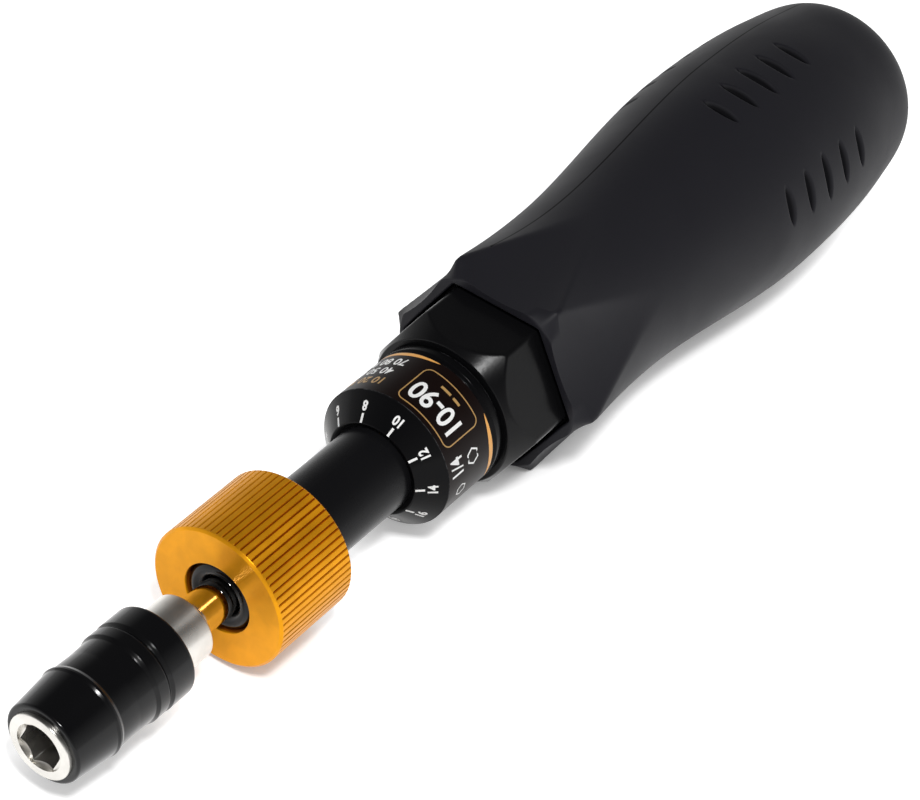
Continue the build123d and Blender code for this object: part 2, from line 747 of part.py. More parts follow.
# Handle: a moulded grip with six hollow facets behind its flange, a swell and a rounded tail
with BuildPart() as handle:
    with BuildSketch(side_plane):
        with BuildLine():
            lip = Line((flange_at, 0), (flange_at, flange_lip_r))
            bevel = Line(lip @ 1, (flange_widest_at - flange_rim / 2, flange_r))
            rim = Line(bevel @ 1, (flange_widest_at + flange_rim / 2, flange_r))
            flare = Spline(rim @ 1, (neck_at, neck_r), (swell_at, swell_r), tangents=((1, flare_fall), (1, 0)))
            swell = Spline(flare @ 1, (shoulder_at, shoulder_r), tangents=((1, 0), (1, shoulder_fall)))
            tail = Spline(swell @ 1, (handle_end_at, handle_end_r), tangents=((1, shoulder_fall), (1, -3)))
            end = Line(tail @ 1, (handle_end_at, 0))
            Line(end @ 1, lip @ 0)
        make_face()
    revolve(axis=tool_axis)
    hollow_outline = []
    for step in range(-4, 5):
        off = step / 4 * petal_half_width
        hollow_outline.append((off, petal_hollow_r - sqrt(petal_hollow_r**2 - off**2)))
    hollow_planes = []
    for number in range(6):
        facet_dir = outwards(60 * number)
        hollow_dir = tool_dir * cos(radians(petal_slope)) + facet_dir * sin(radians(petal_slope))
        hollow_start = point_at(flange_widest_at) + facet_dir * flange_mid_r - hollow_dir * 2 * flange_lip_length
        hollow_planes.append(Plane(hollow_start, x_dir=-round_the_axis(60 * number), z_dir=hollow_dir))
    with BuildSketch(*hollow_planes):
        with BuildLine():
            hollow = Spline(*hollow_outline)
            Polyline(hollow @ 1, (petal_half_width, flange_mid_r), (-petal_half_width, flange_mid_r), hollow @ 0)
        make_face()
    extrude(amount=neck_at + petal_overrun - flange_at + flange_lip_length, mode=Mode.SUBTRACT)
    with BuildSketch(across(flange_at)):
        RegularPolygon(hexagon_r(recess_across), 6)
    extrude(amount=head_end_at - flange_at, mode=Mode.SUBTRACT)
    with BuildSketch(across(head_end_at)):
        Circle(barrel_r + seat_gap)
    extrude(amount=barrel_end_at + free_gap - head_end_at, mode=Mode.SUBTRACT)
    with BuildSketch(across(handle_end_at)):
        RegularPolygon(hexagon_r(tail_across + 2 * seat_gap), 6)
    extrude(amount=-tail_recess - tail_length - seat_gap, mode=Mode.SUBTRACT)
    for row in range(slot_rows):
        row_angle = grip_turn + row * 360 / slot_rows
        row_dir = outwards(row_angle)
        for number in range(slots_per_row):
            step = number - (slots_per_row - 1) / 2
            slot_at = swell_at + slot_offset + step * slot_spacing
            surface_r = swell_r - (swell_r - shoulder_r) * ((slot_at - swell_at) / (shoulder_at - swell_at)) ** 2
            lift = surface_r + slot_wheel_r - slot_depth * (1 - slot_fade * abs(step))
            wheel_centre = point_at(slot_at) + row_dir * lift
            wheel_plane = Plane(wheel_centre, x_dir=tool_dir, z_dir=round_the_axis(row_angle))
            with BuildSketch(wheel_plane):
                with BuildLine():
                    Polyline(
                        (-slot_width / 2, -slot_wheel_r + slot_depth),
                        (-slot_width / 6, -slot_wheel_r),
                        (slot_width / 6, -slot_wheel_r),
                        (slot_width / 2, -slot_wheel_r + slot_depth),
                        (slot_width / 2, 0),
                        (-slot_width / 2, 0),
                        close=True,
                    )
                make_face()
            revolve(axis=Axis(wheel_centre, tool_dir), mode=Mode.SUBTRACT)
handle.part.label = "handle"
export_step(handle.part, "parts/handle.step")

# Tail socket: a hexagon steel insert with a quarter inch square hole for a tee bar
with BuildPart() as tail_socket:
    with BuildSketch(across(handle_end_at - tail_recess)):
        RegularPolygon(hexagon_r(tail_across), 6)
    extrude(amount=-tail_length)
    with BuildSketch(across(handle_end_at - tail_recess)):
        Rectangle(tail_socket_across, tail_socket_across)
    extrude(amount=-tail_socket_depth, mode=Mode.SUBTRACT)
    with BuildSketch(across(handle_end_at - tail_recess)):
        Rectangle(tail_socket_across + 2 * tail_mouth_edge, tail_socket_across + 2 * tail_mouth_edge)
    extrude(amount=-tail_mouth_edge, taper=45, mode=Mode.SUBTRACT)
tail_socket.part.label = "tail_socket"
export_step(tail_socket.part, "parts/tail_socket.step")
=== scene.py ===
import json
import math

import bmesh
import bpy
import numpy as np
from mathutils import Matrix, Vector


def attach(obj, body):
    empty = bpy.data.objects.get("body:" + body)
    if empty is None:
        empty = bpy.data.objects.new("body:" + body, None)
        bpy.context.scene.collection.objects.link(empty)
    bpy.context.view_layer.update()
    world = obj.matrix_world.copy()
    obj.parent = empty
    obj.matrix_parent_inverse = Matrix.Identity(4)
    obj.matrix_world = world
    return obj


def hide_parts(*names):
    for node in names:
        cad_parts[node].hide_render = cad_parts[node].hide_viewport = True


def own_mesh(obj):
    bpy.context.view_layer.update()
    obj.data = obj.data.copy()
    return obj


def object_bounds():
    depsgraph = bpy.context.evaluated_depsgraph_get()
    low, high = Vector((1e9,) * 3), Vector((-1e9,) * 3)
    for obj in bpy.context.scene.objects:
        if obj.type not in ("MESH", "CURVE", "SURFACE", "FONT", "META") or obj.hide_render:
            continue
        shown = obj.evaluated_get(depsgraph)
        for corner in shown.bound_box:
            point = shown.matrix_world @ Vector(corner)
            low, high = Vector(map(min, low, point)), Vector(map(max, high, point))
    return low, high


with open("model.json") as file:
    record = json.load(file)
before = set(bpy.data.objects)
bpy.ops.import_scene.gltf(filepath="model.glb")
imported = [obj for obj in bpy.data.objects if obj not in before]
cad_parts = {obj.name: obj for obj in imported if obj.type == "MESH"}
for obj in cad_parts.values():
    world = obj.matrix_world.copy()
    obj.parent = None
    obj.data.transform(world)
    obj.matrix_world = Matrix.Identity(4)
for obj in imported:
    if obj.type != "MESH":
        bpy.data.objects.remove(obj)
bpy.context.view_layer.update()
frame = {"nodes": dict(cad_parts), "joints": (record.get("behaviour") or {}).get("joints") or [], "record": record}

# Looks of the torque screwdriver. Sizes are in millimetres along the tool's own axis, which runs from the
# mouth of the bit socket (0) towards the tail. Angles go round the axis from the top towards the camera's
# side. A profile lists its corners: the place along the tool, the radius, and how far the corner is rounded.

# The tool's own directions, from the joint that turns the bit holder
turn_joint = next(joint for joint in frame["joints"] if joint["name"] == "output_turn")
tool_dir = Vector(turn_joint["axis"]).normalized()
up_dir = Vector((-tool_dir.z, 0, tool_dir.x))
tool_axes = np.array([tool_dir, (0, 1, 0), up_dir]).T
lie_angle = math.atan2(tool_dir.z, tool_dir.x)
metre = 0.001


def reach(node):
    """Where a CAD node starts and ends along the tool, and its largest radius."""
    points = np.array([vertex.co for vertex in frame["nodes"][node].data.vertices]) / metre @ tool_axes
    return points[:, 0].min(), points[:, 0].max(), np.hypot(points[:, 1], points[:, 2]).max()


def to_frame(along, radius, angle):
    """Points in the row frame from places along, out from and round the tool's axis."""
    along, radius, angle = np.broadcast_arrays(along, radius, angle)
    local = np.stack([along, -radius * np.sin(angle), radius * np.cos(angle)], -1)
    return local @ tool_axes.T * metre


# Sizes that the finished pieces take from the CAD pieces
_, holder_end, holder_r = reach("bit_holder")
collar_at, collar_end, collar_r = reach("release_collar")
knob_at, knob_end, knob_r = reach("adjuster_knob")
tube_at, _, tube_r = reach("scale_tube")
dial_at, dial_end, dial_r = reach("dial_collar")
label_at, label_end, label_r = reach("dial_label")
body_at, body_end, _ = reach("body_tube")
handle_at, handle_end, swell_r = reach("handle")

# Shapes of turned pieces


def rounded(corners, closed):
    """The points of a profile from its corners. Straights keep a point near each end."""
    count = len(corners)
    parts = []
    for index, (along, radius, fillet) in enumerate(corners):
        here = np.array([along, radius])
        if fillet == 0 or (not closed and index in (0, count - 1)):
            parts.append([here])
            continue
        back = np.array(corners[index - 1][:2]) - here
        ahead = np.array(corners[(index + 1) % count][:2]) - here
        back_length, ahead_length = np.hypot(*back), np.hypot(*ahead)
        back, ahead = back / back_length, ahead / ahead_length
        half = math.acos(np.clip(back @ ahead, -1, 1)) / 2
        run = min(fillet / math.tan(half), 0.48 * back_length, 0.48 * ahead_length)
        size = run * math.tan(half)
        middle = here + (back + ahead) / np.hypot(*(back + ahead)) * size / math.sin(half)
        start, end = here + back * run - middle, here + ahead * run - middle
        first = math.atan2(start[1], start[0])
        turn = (math.atan2(end[1], end[0]) - first + math.pi) % (2 * math.pi) - math.pi
        steps = 4 if size < 0.4 else 7
        parts.append([middle + size * np.array([math.cos(first + turn * step / steps),
                                                math.sin(first + turn * step / steps)])
                      for step in range(steps + 1)])
    points = []
    for index, part in enumerate(parts):
        points += part
        if closed or index < count - 1:
            start, end = part[-1], parts[(index + 1) % count][0]
            length = np.hypot(*(end - start))
            if length > 0.5:
                points += [start + (end - start) * 0.05 / length, end - (end - start) * 0.05 / length]
    return np.array(points)


def turned_mesh(name, profile, angles, shape=None, crease=40):
    """A closed mesh from a profile turned round the axis. One that starts and ends at radius 0 has poles."""
    angles = np.asarray(angles)
    along = np.repeat(profile[:, :1], len(angles), 1)
    radius = np.repeat(profile[:, 1:], len(angles), 1)
    if shape:
        along, radius = shape(along, radius, angles[None, :])
    points = to_frame(along, radius, angles[None, :]).reshape(-1, 3)
    rings, columns = len(profile), len(angles)
    has_poles = profile[0, 1] == 0
    faces = []
    for ring in range(rings - 1 if has_poles else rings):
        here, ahead = ring * columns, (ring + 1) % rings * columns
        for column in range(columns):
            side = (column + 1) % columns
            if has_poles and ring == 0:
                faces.append((0, ahead + column, ahead + side))
            elif has_poles and ring == rings - 2:
                faces.append((here + side, here + column, ahead))
            else:
                faces.append((here + side, here + column, ahead + column, ahead + side))
    mesh = bpy.data.meshes.new(name)
    mesh.from_pydata(points, [], faces)
    return tidy_mesh(mesh, crease)


def tidy_mesh(mesh, crease=40):
    """Drops unused points, turns the faces outwards and shades the mesh smooth up to its creases."""
    shell = bmesh.new()
    shell.from_mesh(mesh)
    bmesh.ops.delete(shell, geom=[vertex for vertex in shell.verts if not vertex.link_faces], context="VERTS")
    bmesh.ops.recalc_face_normals(shell, faces=shell.faces)
    shell.to_mesh(mesh)
    shell.free()
    mesh.shade_smooth()
    mesh.set_sharp_from_angle(angle=math.radians(crease))
    return mesh


def even_angles(count):
    """Angles spread evenly round the axis."""
    return np.arange(count) * 2 * math.pi / count


def hexagon_angles(corner, spread, fine, plain):
    """Angles round the axis that lie closer together near the six corners of a hexagon."""
    near = np.arange(-spread, spread + fine / 2, fine)
    between = np.arange(spread + plain, 60 - spread - plain / 2, plain)
    one = np.concatenate([near, between])
    return np.radians(np.sort(np.concatenate([corner + 60 * side + one for side in range(6)]) % 360))


def hexagon_radius(angle, flat_r, corner, round_r):
    """The radius of a hexagon with rounded corners, seen in these directions."""
    off = (np.degrees(angle) - corner + 30) % 60 - 30
    off = np.radians(np.abs(off))
    flat = flat_r / np.cos(math.radians(30) - off)
    centre = (flat_r - round_r) / math.cos(math.radians(30))
    inside = np.maximum(round_r**2 - (centre * np.sin(off)) ** 2, 0)
    arc = centre * np.cos(off) + np.sqrt(inside)
    limit = math.atan2(round_r * math.sin(math.radians(30)), centre + round_r * math.cos(math.radians(30)))
    return np.where(off < limit, arc, flat)


def soft_min(first, second, width):
    """The smaller of two values, blended where they are close."""
    share = np.clip(0.5 + 0.5 * (second - first) / width, 0, 1)
    return second * (1 - share) + first * share - width * share * (1 - share)


# Nodes for the materials
number_socket = "NodeSocketFloat"
vector_socket = "NodeSocketVector"


def add(tree, kind, inputs=None, **settings):
    """A node with its settings, and its inputs given as values or as sockets to link."""
    made = tree.nodes.new(kind)
    for key, value in settings.items():
        setattr(made, key, value)
    for key, value in (inputs or {}).items():
        if isinstance(value, bpy.types.NodeSocket):
            tree.links.new(value, made.inputs[key])
        else:
            made.inputs[key].default_value = value
    return made


def maths(tree, operation, first, second=0.0):
    """The result of a sum on two values."""
    return add(tree, "ShaderNodeMath", {0: first, 1: second}, operation=operation).outputs[0]


def new_group(name, inputs, outputs):
    """A shader group with named inputs and outputs, and its two end nodes."""
    group = bpy.data.node_groups.new(name, "ShaderNodeTree")
    for socket_name, default in inputs.items():
        socket = group.interface.new_socket(socket_name, in_out="INPUT", socket_type=number_socket)
        socket.default_value = default
    for socket_name, kind in outputs.items():
        group.interface.new_socket(socket_name, in_out="OUTPUT", socket_type=kind)
    return group, group.nodes.new("NodeGroupInput"), group.nodes.new("NodeGroupOutput")


def use(tree, group, inputs=None):
    """A node that runs a group in a tree."""
    return add(tree, "ShaderNodeGroup", inputs, node_tree=group)


def tool_place_group():
    """How far along the tool and out from its axis a point lies, in millimetres, and its angle round it."""
    group, start, end = new_group("tool_place", {"Lean": lie_angle}, {
        "Along": number_socket, "Out": number_socket, "Round": number_socket})
    lean = add(group, "ShaderNodeCombineXYZ", {"Y": start.outputs["Lean"]}).outputs[0]
    place = add(group, "ShaderNodeTexCoord").outputs["Object"]
    turned = add(group, "ShaderNodeMapping", {"Vector": place, "Rotation": lean, "Scale": (1000, 1000, 1000)})
    parts = add(group, "ShaderNodeSeparateXYZ", {0: turned.outputs[0]}).outputs
    flat = add(group, "ShaderNodeCombineXYZ", {"X": parts["Y"], "Y": parts["Z"]}).outputs[0]
    out = add(group, "ShaderNodeVectorMath", {0: flat}, operation="LENGTH").outputs["Value"]
    group.links.new(parts["X"], end.inputs["Along"])
    group.links.new(out, end.inputs["Out"])
    group.links.new(maths(group, "ARCTAN2", maths(group, "MULTIPLY", parts["Y"], -1.0), parts["Z"]),
                    end.inputs["Round"])
    return group


def lathe_group(place):
    """Fine rings left by turning."""
    group, start, end = new_group("lathe_marks", {"Rings": 6.0, "Depth": 0.2},
                                  {"Value": number_socket, "Normal": vector_socket})
    where = use(group, place)
    spread = add(group, "ShaderNodeCombineXYZ",
                 {"X": where.outputs["Along"], "Y": where.outputs["Out"]}).outputs[0]
    rings = add(group, "ShaderNodeTexNoise",
                {"Vector": spread, "Scale": start.outputs["Rings"],
                 "Detail": 3.0, "Roughness": 0.6}).outputs[0]
    bump = add(group, "ShaderNodeBump",
               {"Strength": start.outputs["Depth"], "Distance": 0.00002, "Height": rings}).outputs[0]
    group.links.new(rings, end.inputs["Value"])
    group.links.new(bump, end.inputs["Normal"])
    return group


def grain_group():
    """A fine moulded or blasted grain."""
    group, start, end = new_group("fine_grain", {"Size": 4000.0, "Depth": 0.2},
                                  {"Value": number_socket, "Normal": vector_socket})
    place = add(group, "ShaderNodeTexCoord").outputs["Object"]
    grain = add(group, "ShaderNodeTexNoise",
                {"Vector": place, "Scale": start.outputs["Size"],
                 "Detail": 3.0, "Roughness": 0.55}).outputs[0]
    bump = add(group, "ShaderNodeBump",
               {"Strength": start.outputs["Depth"], "Distance": 0.00004, "Height": grain}).outputs[0]
    group.links.new(grain, end.inputs["Value"])
    group.links.new(bump, end.inputs["Normal"])
    return group


def smudge_group():
    """Broad, faint changes of sheen from handling."""
    group, start, end = new_group("smudges", {"Size": 90.0, "Low": 0.2, "High": 0.3},
                                  {"Value": number_socket})
    place = add(group, "ShaderNodeTexCoord").outputs["Object"]
    noise = add(group, "ShaderNodeTexNoise",
                {"Vector": place, "Scale": start.outputs["Size"],
                 "Detail": 4.0, "Distortion": 0.4}).outputs[0]
    value = add(group, "ShaderNodeMapRange",
                {"Value": noise, "From Min": 0.35, "From Max": 0.65, "To Min": start.outputs["Low"],
                 "To Max": start.outputs["High"]}).outputs[0]
    group.links.new(value, end.inputs["Value"])
    return group


def edge_group():
    """A mask of the edges, broken up a little, where a finish is rubbed and where a highlight is painted."""
    group, start, end = new_group("edge_wear_and_highlight", {"Width": 0.0002, "Amount": 1.0, "Size": 900.0},
                                  {"Mask": number_socket})
    normal = add(group, "ShaderNodeNewGeometry").outputs["Normal"]
    bevel = add(group, "ShaderNodeBevel", {"Radius": start.outputs["Width"]}, samples=6).outputs[0]
    alike = add(group, "ShaderNodeVectorMath", {0: normal, 1: bevel},
                operation="DOT_PRODUCT").outputs["Value"]
    edge = add(group, "ShaderNodeMapRange", {"Value": alike, "From Min": 0.995, "From Max": 0.93}).outputs[0]
    place = add(group, "ShaderNodeTexCoord").outputs["Object"]
    noise = add(group, "ShaderNodeTexNoise", {"Vector": place, "Scale": start.outputs["Size"], "Detail": 3.0})
    broken = add(group, "ShaderNodeMapRange",
                 {"Value": noise.outputs[0], "From Min": 0.4, "From Max": 0.62}).outputs[0]
    mask = maths(group, "MULTIPLY", maths(group, "MULTIPLY", edge, broken), start.outputs["Amount"])
    group.links.new(mask, end.inputs["Mask"])
    return group


def sunk_group(place):
    """A mask of what lies inside a radius and behind a place, such as the floor of a groove or a hole, where shade
    is painted.
    """
    group, start, end = new_group("sunk_parts", {"Edge": 10.0, "Floor": 9.0, "Front": 0.0, "Back": 1.0},
                                  {"Mask": number_socket})
    where = use(group, place)
    inside = add(group, "ShaderNodeMapRange", {
        "Value": where.outputs["Out"], "From Min": start.outputs["Edge"],
        "From Max": start.outputs["Floor"]}).outputs[0]
    behind = add(group, "ShaderNodeMapRange", {
        "Value": where.outputs["Along"], "From Min": start.outputs["Front"],
        "From Max": start.outputs["Back"]}).outputs[0]
    group.links.new(maths(group, "MULTIPLY", inside, behind), end.inputs["Mask"])
    return group


def seam_group(place):
    """A mask of the fine line that a mould leaves on two sides, between two places along the tool."""
    group, start, end = new_group("mould_seam", {"Angle": 0.0, "Width": 0.1, "Front": 0.0, "Back": 1.0},
                                  {"Mask": number_socket})
    where = use(group, place)
    turned = maths(group, "SUBTRACT", where.outputs["Round"], start.outputs["Angle"])
    aside = maths(group, "ABSOLUTE", maths(group, "SINE", turned))
    away = maths(group, "MULTIPLY", aside, where.outputs["Out"])
    core = maths(group, "MULTIPLY", start.outputs["Width"], 0.4)
    line = add(group, "ShaderNodeMapRange",
               {"Value": away, "From Min": start.outputs["Width"], "From Max": core}).outputs[0]
    begun = maths(group, "GREATER_THAN", where.outputs["Along"], start.outputs["Front"])
    going = maths(group, "LESS_THAN", where.outputs["Along"], start.outputs["Back"])
    between = maths(group, "MULTIPLY", begun, going)
    group.links.new(maths(group, "MULTIPLY", line, between), end.inputs["Mask"])
    return group


place_group = tool_place_group()
lathe = lathe_group(place_group)
grain = grain_group()
smudges = smudge_group()
edge_wear_and_highlight = edge_group()
sunk_parts = sunk_group(place_group)
mould_seam = seam_group(place_group)


finishes = {}


def new_material(name):
    """A material with an empty tree, its shader and its output. It is kept under its name."""
    material = bpy.data.materials.new(name)
    finishes[name] = material
    material.use_nodes = True
    tree = material.node_tree
    tree.nodes.clear()
    shader = tree.nodes.new("ShaderNodeBsdfPrincipled")
    output = tree.nodes.new("ShaderNodeOutputMaterial")
    tree.links.new(shader.outputs[0], output.inputs["Surface"])
    return tree, shader


def set_shader(tree, shader, values):
    """Sets the shader's own sockets from values or from sockets to link."""
    for key, value in values.items():
        if isinstance(value, bpy.types.NodeSocket):
            tree.links.new(value, shader.inputs[key])
        else:
            shader.inputs[key].default_value = value


def round_tangent(tree):
    """The direction round the tool's axis, for the streaks on turned metal."""
    place = add(tree, "ShaderNodeTexCoord").outputs["Object"]
    axis = add(tree, "ShaderNodeCombineXYZ", {"X": tool_dir.x, "Y": tool_dir.y, "Z": tool_dir.z}).outputs[0]
    return add(tree, "ShaderNodeVectorMath", {0: axis, 1: place}, operation="CROSS_PRODUCT").outputs[0]


def turned_metal(name, colour, low, high, streak, rings=6.0, depth=0.3, painted_shade_colour=None, painted_shade_place=None, metal=1.0):
    """Turned steel, bronze or dyed aluminium, in faint patches. Its hollows take a darker colour as painted shade.
    """
    tree, shader = new_material(name)
    marks = use(tree, lathe, {"Rings": rings, "Depth": depth})
    sheen = use(tree, smudges, {"Size": 150.0, "Low": low, "High": high})
    tint = (*colour, 1)
    # The hollows under the mask take a darker colour: painted shade.
    if painted_shade_colour:
        mask = use(tree, sunk_parts, painted_shade_place).outputs["Mask"]
        tint = add(tree, "ShaderNodeMix", {0: mask, 6: tint, 7: (*painted_shade_colour, 1)}, data_type="RGBA").outputs[2]
    patches = use(tree, smudges, {"Size": 260.0, "Low": 0.88, "High": 1.0}).outputs["Value"]
    tint = add(tree, "ShaderNodeMix", {0: 1.0, 6: tint, 7: patches},
               data_type="RGBA", blend_type="MULTIPLY").outputs[2]
    set_shader(tree, shader, {
        "Base Color": tint, "Metallic": metal,
        "Roughness": sheen.outputs["Value"], "Normal": marks.outputs["Normal"],
        "Anisotropic": streak, "Anisotropic Rotation": 0.25, "Tangent": round_tangent(tree),
        "Specular IOR Level": 0.1})


def black_coat(name, colour, low, high, depth, wear_and_highlight=0.0, shine=0.4):
    """Gloss or satin black on metal, with lighter grey edges, partly rubbed paint and partly a painted highlight,
    where their amount is above 0.
    """
    tree, shader = new_material(name)
    fine = use(tree, grain, {"Size": 1800.0, "Depth": depth})
    sheen = use(tree, smudges, {"Size": 120.0, "Low": low, "High": high})
    worn_and_highlit = use(tree, edge_wear_and_highlight, {"Width": 0.00015, "Amount": wear_and_highlight})
    # Lighter grey on the edges: partly rubbed paint, partly a painted highlight.
    tint = add(tree, "ShaderNodeMix", {0: worn_and_highlit.outputs["Mask"], 6: (*colour, 1), 7: (0.25, 0.25, 0.26, 1)},
               data_type="RGBA").outputs[2]
    set_shader(tree, shader, {"Base Color": tint, "Roughness": sheen.outputs["Value"],
                              "Specular IOR Level": shine, "Normal": fine.outputs["Normal"], "IOR": 1.5})


def print_ink(name, colour):
    """Flat printed ink."""
    tree, shader = new_material(name)
    sheen = use(tree, smudges, {"Size": 400.0, "Low": 0.35, "High": 0.5})
    fleck = use(tree, grain, {"Size": 6000.0, "Depth": 0.1})
    darker = (*[part * 0.86 for part in colour], 1)
    tint = add(tree, "ShaderNodeMix", {0: fleck.outputs["Value"], 6: (*colour, 1), 7: darker},
               data_type="RGBA").outputs[2]
    set_shader(tree, shader, {"Base Color": tint, "Roughness": sheen.outputs["Value"],
                              "Normal": fleck.outputs["Normal"]})


def moulded_plastic(name, colour):
    """Matt moulded plastic with a fine grain and a mould seam on two sides, with painted shade in the grip slots.
    """
    tree, shader = new_material(name)
    fine = use(tree, grain, {"Size": 2600.0, "Depth": 0.2})
    sheen = use(tree, smudges, {"Size": 60.0, "Low": 0.5, "High": 0.58})
    seam = use(tree, mould_seam, {"Angle": seam_angle, "Width": 0.26, "Front": seam_front, "Back": seam_back})
    slot = add(tree, "ShaderNodeAttribute", attribute_name="slot").outputs["Fac"]
    # Near-black in the grip slots: painted shade.
    slot_painted_shade = maths(tree, "MINIMUM", maths(tree, "MULTIPLY", slot, 1.6), 0.85)
    dark = maths(tree, "MAXIMUM", seam.outputs["Mask"], slot_painted_shade)
    tint = add(tree, "ShaderNodeMix", {0: dark, 6: (*colour, 1), 7: (0.0005, 0.0005, 0.001, 1)},
               data_type="RGBA").outputs[2]
    shine = add(tree, "ShaderNodeMapRange", {"Value": dark, "To Min": 0.22, "To Max": 0.05}).outputs[0]
    set_shader(tree, shader, {"Base Color": tint, "Roughness": sheen.outputs["Value"],
                              "Specular IOR Level": shine, "Normal": fine.outputs["Normal"], "IOR": 1.45})


# Where the seam lies round the handle and along it, and where shade is painted in the hollows of the knob and the
# bit socket
seam_angle = math.radians(335)
seam_front, seam_back = handle_at + 9.0, handle_at + 106.5
knob_painted_shade = {"Edge": knob_r - 0.03, "Floor": knob_r - 0.26, "Front": knob_at + 0.3, "Back": knob_at + 0.5}
socket_painted_shade = {"Edge": 3.9, "Floor": 3.4, "Front": 0.3, "Back": 7.0}

moulded_plastic("handle_plastic", (0.0110, 0.0107, 0.0142))
black_coat("body_black", (0.004, 0.004, 0.0045), low=0.2, high=0.26, depth=0.15, wear_and_highlight=0.3, shine=0.14)
black_coat("dial_black", (0.0030, 0.0030, 0.0035), low=0.14, high=0.2, depth=0.05, wear_and_highlight=0.2, shine=0.08)
black_coat("label_print", (0.0058, 0.0024, 0.0020), low=0.36, high=0.42, depth=0.1, shine=0.1)
turned_metal("plain_steel", (0.55, 0.55, 0.56), low=0.28, high=0.38, streak=0.3)
turned_metal("bronze", (0.72, 0.5, 0.25), low=0.35, high=0.45, streak=0.2)
turned_metal("socket_steel", (0.6, 0.6, 0.6), low=0.25, high=0.32, streak=0.0)
# The bit socket's inside turns darker grey towards its floor: painted shade.
turned_metal("holder_steel", (0.72, 0.70, 0.66), low=0.26, high=0.32, streak=0.75, rings=8.0, depth=0.15,
             painted_shade_colour=(0.42, 0.41, 0.39), painted_shade_place=socket_painted_shade)
turned_metal("spring_steel", (0.45, 0.46, 0.48), low=0.2, high=0.3, streak=0.0)
turned_metal("shaft_steel", (0.82, 0.81, 0.79), low=0.05, high=0.08, streak=0.0, rings=10.0, depth=0.05)
turned_metal("ball_steel", (0.8, 0.8, 0.8), low=0.08, high=0.1, streak=0.0, depth=0.02)
black_coat("collar_black", (0.003, 0.003, 0.0035), low=0.12, high=0.19, depth=0.06, wear_and_highlight=0.1, shine=0.26)
# The knob's flute floors, recess and back take a darker orange: painted shade.
turned_metal("knob_gold", (0.82, 0.34, 0.008), low=0.3, high=0.36, streak=0.75, rings=5.0, depth=0.03,
             painted_shade_colour=(0.42, 0.105, 0.003), painted_shade_place=knob_painted_shade, metal=0.62)
black_coat("o_ring_rubber", (0.003, 0.003, 0.0035), low=0.1, high=0.14, depth=0.02, shine=0.2)
black_coat("tube_black", (0.006, 0.006, 0.0068), low=0.24, high=0.3, depth=0.1, wear_and_highlight=0.1, shine=0.1)
print_ink("white_ink", (0.95, 0.95, 0.94))
print_ink("gold_ink", (0.50, 0.30, 0.10))
print_ink("orange_ink", (0.92, 0.45, 0.11))


def new_object(name, data):
    """An object in the scene that holds a mesh, a text, a lamp or a camera."""
    made = bpy.data.objects.new(name, data)
    bpy.context.scene.collection.objects.link(made)
    return made


def plain_mesh(holder):
    """The mesh that an object's text or nodes make. The object is then dropped."""
    bpy.context.view_layer.update()
    mesh = bpy.data.meshes.new_from_object(holder.evaluated_get(bpy.context.evaluated_depsgraph_get()))
    holder.modifiers.clear()
    bpy.data.objects.remove(holder)
    return mesh


def finish_piece(mesh, body, material):
    """An object of a finished mesh that rides on a body."""
    thing = new_object(mesh.name, mesh)
    mesh.materials.clear()
    mesh.materials.append(material)
    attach(thing, body)
    return thing


slot_of = {part["node"]: part["material_slot"] for part in frame["record"]["subparts"]}


def turned_piece(node, body, profile, angles, shape=None, crease=40):
    """A piece turned from a profile, in place of a CAD node and with its finish."""
    mesh = turned_mesh(node + "_finished", profile, angles, shape, crease)
    thing = finish_piece(mesh, body, finishes[slot_of[node]])
    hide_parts(node)
    return thing


# CAD pieces keep their shapes and take their finishes
for node_name, node_object in frame["nodes"].items():
    node_object.data.materials.clear()
    node_object.data.materials.append(finishes[slot_of[node_name]])

# The two springs, which the knob and the release collar press shorter, get meshes of their own; their front ends
# are worked out but not used
for spring_name, joint_name, travel in (("torque_spring", "carriage_slide", 7.0),
                                        ("collar_spring", "collar_slide", 2.5)):
    spring_at, spring_end, _ = reach(spring_name)
    front_end = tuple(float(part) for part in to_frame(spring_at, 0, 0))
    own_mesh(frame["nodes"][spring_name])

# Bit holder: a ring with a coned mouth, a hexagon socket and a plain shank
socket_corner = 17.5
socket_flat_r = 3.2
socket_mouth_r = 3.95
socket_depth = 14.0
seat_r = 3.22
seat_at = 20.0
groove_at = 19.6
groove_end = groove_at + 0.7
groove_r = holder_r - 0.5


def holder_shape(along, radius, angle):
    """Turns the socket's rings into a hexagon, and the inner edge of the mouth's cone into its scallops."""
    hexagon = hexagon_radius(angle, socket_flat_r, socket_corner, 0.25)
    in_socket = (radius < socket_mouth_r - 0.01) & (radius > 0.01) & (along < socket_depth + 0.1)
    cone_edge = in_socket & (along < 2)
    along = np.where(cone_edge, along + socket_mouth_r - hexagon, along)
    radius = np.where(in_socket, hexagon * radius / socket_flat_r, radius)
    return along, radius


holder_profile = rounded([
    (socket_depth, 0, 0),
    (socket_depth, socket_flat_r, 0),
    (0.0, socket_flat_r, 0),
    (0.0, socket_mouth_r, 0),
    (0.0, holder_r, 0.22),
    (groove_at, holder_r, 0),
    (groove_at, groove_r, 0),
    (groove_end, groove_r, 0),
    (groove_end, holder_r, 0),
    (holder_end, holder_r, 0.3),
    (holder_end, seat_r, 0),
    (seat_at, seat_r, 0),
    (seat_at, 0, 0)], closed=False)
turned_piece("bit_holder", "output", holder_profile, hexagon_angles(socket_corner, 4, 0.8, 2.6), holder_shape)

